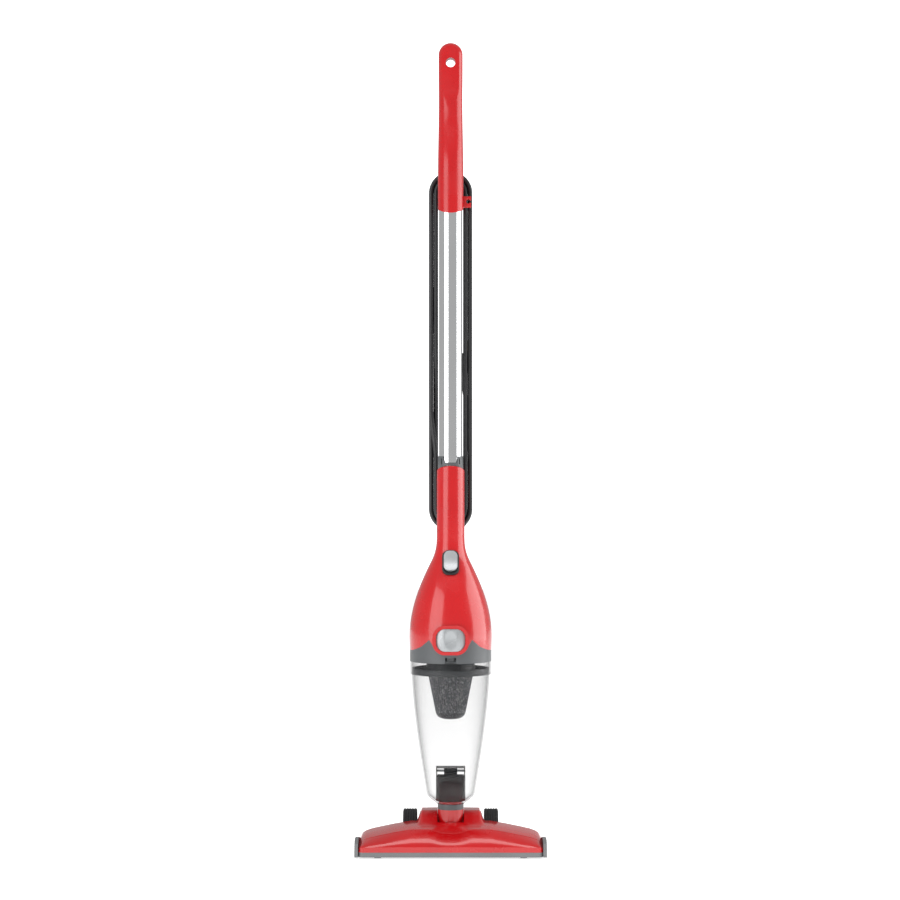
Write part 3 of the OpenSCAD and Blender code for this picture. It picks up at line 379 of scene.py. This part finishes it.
def wound_turns():
    points = []
    for k, (r, y) in enumerate(TURNS):
        following = TURNS[k + 1] if k + 1 < len(TURNS) else TURNS[k]
        start = 50 if k == 0 else 0
        for a in range(start, 90, 5):
            points.append((r * sin(radians(a)), y, LOW_HOOK - r * cos(radians(a))))
        for i in range(23):
            points.append((r, y, LOW_HOOK + (HIGH_HOOK - LOW_HOOK) * i / 22))
        for a in range(5, 180, 5):
            points.append((r * cos(radians(a)), y, HIGH_HOOK + r * sin(radians(a))))
        top = HIGH_HOOK - 40 - 85 * (len(TURNS) - 2 - k)
        for i in range(88):
            z = HIGH_HOOK - (HIGH_HOOK - LOW_HOOK) * i / 87
            t = smooth((top - z) / CHANGE)
            points.append((-(r + (following[0] - r) * t), y + (following[1] - y) * t, z))
        r, y = following
        for a in range(5, 90, 5):
            points.append((-r * cos(radians(a)), y, LOW_HOOK - r * sin(radians(a))))
    r, y = TURNS[-1]
    for a in range(0, 90, 5):
        points.append((r * sin(radians(a)), y, LOW_HOOK - r * cos(radians(a))))
    for i in range(9):
        points.append((r, y, LOW_HOOK + 78 * i / 8))
    return points


def rounded_route(points, steps=6):
    """Smooth line through the given points."""
    line = []
    for i in range(len(points) - 1):
        p0 = Vector(points[max(i - 1, 0)])
        p1, p2 = Vector(points[i]), Vector(points[i + 1])
        p3 = Vector(points[min(i + 2, len(points) - 1)])
        for s in range(steps):
            t = s / steps
            line.append(0.5 * ((2 * p1) + (p2 - p0) * t + (2 * p0 - 5 * p1 + 4 * p2 - p3) * t * t
                               + (3 * p1 - p0 - 3 * p2 + p3) * t ** 3))
    line.append(Vector(points[-1]))
    return line


cord_line = [Vector(p) for p in rounded_route(LEAD)] + [Vector(p) for p in wound_turns()]
cord_line += [Vector(p) for p in rounded_route(TAIL)]

cord_curve = bpy.data.curves.new("mains_cord", "CURVE")
cord_curve.dimensions = "3D"
cord_curve.bevel_depth = CORD_D / 2 * MM
cord_curve.bevel_resolution = 5
cord_curve.use_fill_caps = True
spline = cord_curve.splines.new("POLY")
spline.points.add(len(cord_line) - 1)
for point, place in zip(spline.points, cord_line):
    point.co = (*(place * MM), 1)
cord = bpy.data.objects.new("mains_cord", cord_curve)
bpy.context.scene.collection.objects.link(cord)
cord_curve.materials.append(CORD)
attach(cord, BODY_OF["cord_hank"])
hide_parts("cord_lead", "cord_hank", "cord_tail")


# ---------- Head cover: the CAD's surface at a fine pitch ----------

WALL = 2.4
HEAD_FRONT, HEAD_BACK = 68, 12
COVER_HALF, BLOCK_HALF, BLOCK_BACK = 124, 43, 56
COVER_Z, CREASE_Y, DECK_H, RIDGE_TOP = 9, -46, 56, 40.6
PIVOT_Y, PIVOT_Z, DRUM_R, NECK_R, SLOT_HALF = 14, 30, 18.5, 17.8, 18.1
WHEEL_Y, WHEEL_R = 42, 26
RIDGE = [
    (0, RIDGE_TOP), (54, RIDGE_TOP - 0.8), (75, 36.3), (96, 32), (108, 29.3), (116, 26.5), (121, 23), (124, 18),
]


def ridge_h(u):
    if u >= 124:
        return 18
    for (u0, h0), (u1, h1) in zip(RIDGE, RIDGE[1:]):
        if u <= u1:
            return h0 + (h1 - h0) * (u - u0) / (u1 - u0)


def crease_h(u):
    return ridge_h(u) - 3.6 - 5.5 * (1 - smooth((u - 6) / 26))


def cover_h(x, y):
    u = abs(x)
    if y < CREASE_Y:
        t = min(1, (CREASE_Y - y) / (CREASE_Y + HEAD_FRONT))
        c = crease_h(u)
        lip = min(15, 0.75 * c)
        return lip + (c - lip) * (0.55 * sqrt(max(0, 1 - t * t)) + 0.45 * (1 - t))
    s = 1 - min(1, (y - CREASE_Y) / -CREASE_Y)
    return (ridge_h(u) - (ridge_h(u) - crease_h(u)) * s * s
            + (DECK_H - RIDGE_TOP) * (1 - smooth((u - 39) / 8)) * smooth((y + 28) / 34)
            - 18 * smooth((y - 28) / 28))


def cover_field(name, drop, low, groove=0.0):
    """Solid below the cover's surface, lowered by drop; a fine groove follows the crease."""
    xs = [-126 + 1.4 * i for i in range(181)]
    ys = sorted({round(-70 + 1.5 * i, 2) for i in range(86)} - {-46.0} | {-47.1, -46.6, -46.3, -46.0, -45.7, -45.4, -44.9})
    points = []
    for y in ys:
        dip = groove * (1 - smooth((abs(y - CREASE_Y) - 0.3) / 0.8))
        points += [[MM * x, MM * y, MM * (cover_h(x, y) - drop - dip)] for x in xs]
    w, h = len(xs), len(ys)
    top = len(points)
    points += [[MM * x, MM * y, MM * low] for y in ys for x in xs]
    faces = []
    for j in range(h - 1):
        for i in range(w - 1):
            k = j * w + i
            faces.append([k, k + 1, k + w + 1, k + w])
            faces.append([top + k, top + k + w, top + k + w + 1, top + k + 1])
    edge = ([i for i in range(w)] + [j * w + w - 1 for j in range(1, h)]
            + [(h - 1) * w + i for i in range(w - 2, -1, -1)] + [j * w for j in range(h - 2, 0, -1)])
    for k, a in enumerate(edge):
        b = edge[(k + 1) % len(edge)]
        faces.append([a, top + a, top + b, b])
    obj = mesh_object(name, points, faces)
    tidy_normals(obj)
    return obj


def head_plan(name, low, high, inset=0.0):
    wide = prism(name, round_outline(2 * (COVER_HALF - inset), HEAD_FRONT + HEAD_BACK - 2 * inset, 7,
                                     (0, (HEAD_BACK - HEAD_FRONT) / 2)), low, high)
    half, back = BLOCK_HALF - inset, BLOCK_BACK - inset
    cut(wide, prism("block", [(-half, -10), (half, -10), (half, back), (-half, back)], low, high), "UNION")
    return wide


cover = cover_field("head_cover_skin", 0, -2, 1.3)
cut(cover, head_plan("plan", COVER_Z, 80), "INTERSECT")
hollow = cover_field("hollow", WALL, -2)
cut(hollow, head_plan("plan", -1, 80, WALL), "INTERSECT")
cut(cover, hollow)
cut(cover, prism("drum_room", circle_outline(DRUM_R + 1, (PIVOT_Y, PIVOT_Z), 96), -SLOT_HALF, SLOT_HALF, "x"))
cut(cover, prism("neck_room", [
    (-NECK_R - 1, 120), (-NECK_R - 1, 41), (-NECK_R + 1, 37.5), (PIVOT_Y - DRUM_R, PIVOT_Z - 5),
    (PIVOT_Y, PIVOT_Z - DRUM_R - 1), (PIVOT_Y + 22, 16), (90, 22), (90, 120),
], -SLOT_HALF, SLOT_HALF, "x"))
cut(cover, prism("axle_room", circle_outline(4.05, (WHEEL_Y, WHEEL_R), 40), -60, 60, "x"))
shade(cover, 24)
use(cover, RED, "head_cover")


# ---------- Handle: both halves as one smooth form with their seam ----------

TOTAL_H, HANDLE_Z, HANDLE_SIDE_Z, HANDLE_R, HANDLE_TOP_R = 1105, 870, 878, 17.4, 16.5
LEAN_Y, LEAN_Z, FLAT_HALF, HANG_Z, HANG_R, TUBE_R = 12.5, 925, 10.5, 1077, 6.5, 15.8
SCREW_ZS = (958, 1035)


def path_y(z):
    return LEAN_Y * smooth((z - LEAN_Z) / 92)


handle_rings = []
sections = [(HANDLE_Z, 0), (HANDLE_Z + 30, 0)] + [(z, 0) for z in range(LEAN_Z, TOTAL_H - 16, 6)]
sections += [(TOTAL_H - HANDLE_TOP_R, a) for a in range(0, 87, 5)]
seam = [(-1.6, 0), (-0.8, 0.1), (0, 0.55), (0.8, 0.1), (1.6, 0)]
turn_angles = [(side + a, d) for side in (0, 180) for a, d in seam]
turn_angles += [(a, 0) for k in range(96) for a in [3.75 * k] if a % 180 > 2 and a % 180 < 178]
turn_angles.sort(key=lambda item: item[0] % 360)
for z, up in sections:
    half_w = HANDLE_R - 1.2 * smooth((z - LEAN_Z) / 100) + 0.3 * smooth((z - 1030) / 40)
    half_d = HANDLE_R - 2.6 * smooth((z - LEAN_Z) / 110)
    handle_rings.append([
        ((half_w - d) * cos(radians(up)) * cos(radians(a)),
         path_y(z) + (half_d - d) * cos(radians(up)) * sin(radians(a)),
         z + HANDLE_TOP_R * sin(radians(up))) for a, d in turn_angles])
handle = loft("handle_skin", handle_rings)
cut(handle, prism("front_flat", [
    (-60, 980), (LEAN_Y - HANDLE_R - 4, 980), (LEAN_Y - FLAT_HALF, 1040), (LEAN_Y - FLAT_HALF, 1114), (-60, 1114),
], -60, 60, "x"))
cut(handle, prism("back_flat", [
    (90, 980), (LEAN_Y + HANDLE_R + 4, 980), (LEAN_Y + FLAT_HALF, 1040), (LEAN_Y + FLAT_HALF, 1114), (90, 1114),
], -60, 60, "x"))
bevel(handle, 0.0022, 40, 4)
cut(handle, prism("tube_room", circle_outline(TUBE_R + 0.05, (0, 0), 128), HANDLE_Z - 1, 921.2))
cut(handle, prism("hang_room", circle_outline(HANG_R, (0, HANG_Z), 64), -60, 60, "y"))
arch = [(40, 800), (-40, 800), (-40, HANDLE_SIDE_Z)]
arch += [(HANDLE_R * cos(radians(a)), HANDLE_SIDE_Z + (HANDLE_SIDE_Z - HANDLE_Z) * sin(radians(a)))
         for a in range(180, 361, 6)]
cut(handle, prism("arch", arch + [(40, HANDLE_SIDE_Z)], -60, 60, "y"))
for z in SCREW_ZS:
    cut(handle, prism("screw_room", circle_outline(3.3, (0, z), 32), path_y(z) + 5, 60, "y"))
cut(handle, prism("pivot_room", circle_outline(4.02, (0, HIGH_HOOK), 40), 10, 40, "y"))
shade(handle, 28)
use(handle, RED_HANDLE, "front_handle", "rear_handle")


# ---------- Filter: pleated cone ----------

CONE = ((20.5, 190), (31, 242.5))
MEDIA_T = 2.5
PLEATS = 48
pleat_points, pleat_faces = [], []
levels, around_steps = 14, PLEATS * 6
for layer in (0, 1):
    for j in range(levels + 1):
        t = j / levels
        r = CONE[0][0] + (CONE[1][0] - CONE[0][0]) * t
        z = CONE[0][1] + (CONE[1][1] - CONE[0][1]) * t
        fold = 0.0 if layer else 1.3 * min(1, 8 * t, 8 * (1 - t))
        for i in range(around_steps):
            a = 2 * pi * i / around_steps
            rr = r - layer * MEDIA_T - fold * (0.5 - 0.5 * cos(PLEATS * a))
            pleat_points.append([MM * rr * cos(a), MM * rr * sin(a), MM * z])
span = (levels + 1) * around_steps
for layer in (0, 1):
    for j in range(levels):
        for i in range(around_steps):
            a = layer * span + j * around_steps + i
            b = layer * span + j * around_steps + (i + 1) % around_steps
            pleat_faces.append([a, b, b + around_steps, a + around_steps])
for j in (0, levels):
    for i in range(around_steps):
        a, b = j * around_steps + i, j * around_steps + (i + 1) % around_steps
        pleat_faces.append([a, b, b + span, a + span])
media = mesh_object("filter_media_skin", pleat_points, pleat_faces)
tidy_normals(media)
shade(media, 60)
use(media, FELT, "filter_media")


# ---------- Copies of the CAD nodes with welded, softened edges ----------

def refined(node, width=0.0, angle=32):
    """The node's own shape, with its edges welded, smoothed and, where given, rounded off."""
    bm = bmesh.new()
    bm.from_mesh(NODES[node].data)
    bmesh.ops.remove_doubles(bm, verts=bm.verts, dist=2e-6)
    bmesh.ops.dissolve_limit(bm, angle_limit=radians(0.5), verts=bm.verts, edges=bm.edges)
    mesh = bpy.data.meshes.new(node + "_skin")
    bm.to_mesh(mesh)
    bm.free()
    if "custom_normal" in mesh.attributes:
        mesh.attributes.remove(mesh.attributes["custom_normal"])
    obj = new_object(node + "_skin", mesh)
    if width:
        bevel(obj, width, 40)
    shade(obj, angle)
    return use(obj, material_of(node), node)


for node, width in {
    "wand_tube": 0, "wand_ferrule": 0.0003, "wand_latch": 0.0003, "lower_cord_hook": 0.0004,
    "upper_cord_hook": 0.0004, "cord_clip": 0.0006, "power_switch": 0.0004, "switch_frame": 0,
    "lower_collar": 0, "intake_grille": 0, "neck_collar": 0, "neck_elbow": 0, "inlet_duct": 0.0003,
    "inlet_flap": 0.0004, "flap_pin": 0, "filter_flange": 0.0003, "left_wheel": 0.0003,
    "right_wheel": 0.0003, "left_axle": 0.0003, "right_axle": 0.0003, "left_roller": 0.0004,
    "right_roller": 0.0004, "head_base": 0, "head_screws": 0, "housing_screws": 0, "handle_screws": 0,
    "hook_pivot": 0.0003, "strain_relief": 0, "plug_blades": 0.0002, "latch_hook": 0.0003,
    "rear_housing": 0, "front_housing": 0, "filter_seal": 0.0003, "release_button": 0.0005,
    "left_tyre": 0.0003, "right_tyre": 0.0003, "filter_cap": 0.0003, "plug_body": 0,
}.items():
    refined(node, width)


# ---------- Floor, backdrop and light ----------

floor = mesh_object("floor", [(-6, -6, 0), (6, -6, 0), (6, 6, 0), (-6, 6, 0)], [[0, 1, 2, 3]])
floor.data.materials.append(surface("pale_floor", srgb(250, 250, 250), 0.7, 0.01, 0.03, 40, 0.02,
                                     emission_color=(1, 1, 1, 1), emission_strength=0.62))

world = bpy.data.worlds.new("studio")
world.use_nodes = True
world.node_tree.nodes["Background"].inputs["Color"].default_value = (1, 1, 1, 1)
world.node_tree.nodes["Background"].inputs["Strength"].default_value = 0.45
bpy.context.scene.world = world


def soft_box(name, place, target, size, power):
    data = bpy.data.lights.new(name, "AREA")
    data.shape = "RECTANGLE"
    data.size, data.size_y = size
    data.energy = power
    light = bpy.data.objects.new(name, data)
    light.location = place
    light.rotation_euler = (Vector(target) - Vector(place)).to_track_quat("-Z", "Y").to_euler()
    bpy.context.scene.collection.objects.link(light)


def around(azimuth, distance, height):
    """Place at an azimuth: 0 is the front, +90 the right side."""
    return (distance * sin(radians(azimuth)), -distance * cos(radians(azimuth)), height)


soft_box("left_box", around(-44, 2.4, 0.95), (0, 0, 0.6), (1.7, 2.0), 26)
soft_box("right_box", around(92, 2.4, 0.95), (0, 0, 0.6), (2.4, 2.0), 44)
soft_box("top_box", (0, -0.9, 2.6), (0, 0, 0), (2.0, 1.2), 24)

# white backdrop all round: seen behind the object, it lights nothing
dome_rings = [[(8200 * cos(radians(e)) * cos(2 * pi * i / 48), 8200 * cos(radians(e)) * sin(2 * pi * i / 48),
                8200 * sin(radians(e)) - 300) for i in range(48)] for e in range(0, 90, 10)]
dome = loft("backdrop", dome_rings)
backdrop = bpy.data.materials.new("backdrop_white")
backdrop.use_nodes = True
paper = backdrop.node_tree.nodes["Principled BSDF"]
paper.inputs["Base Color"].default_value = (1, 1, 1, 1)
paper.inputs["Emission Color"].default_value = (1, 1, 1, 1)
paper.inputs["Emission Strength"].default_value = 1.0
dome.data.materials.append(backdrop)
dome.visible_diffuse = False
dome.visible_glossy = False
dome.visible_transmission = False
dome.visible_volume_scatter = False
dome.visible_shadow = False

bpy.context.scene.view_settings.view_transform = "Standard"
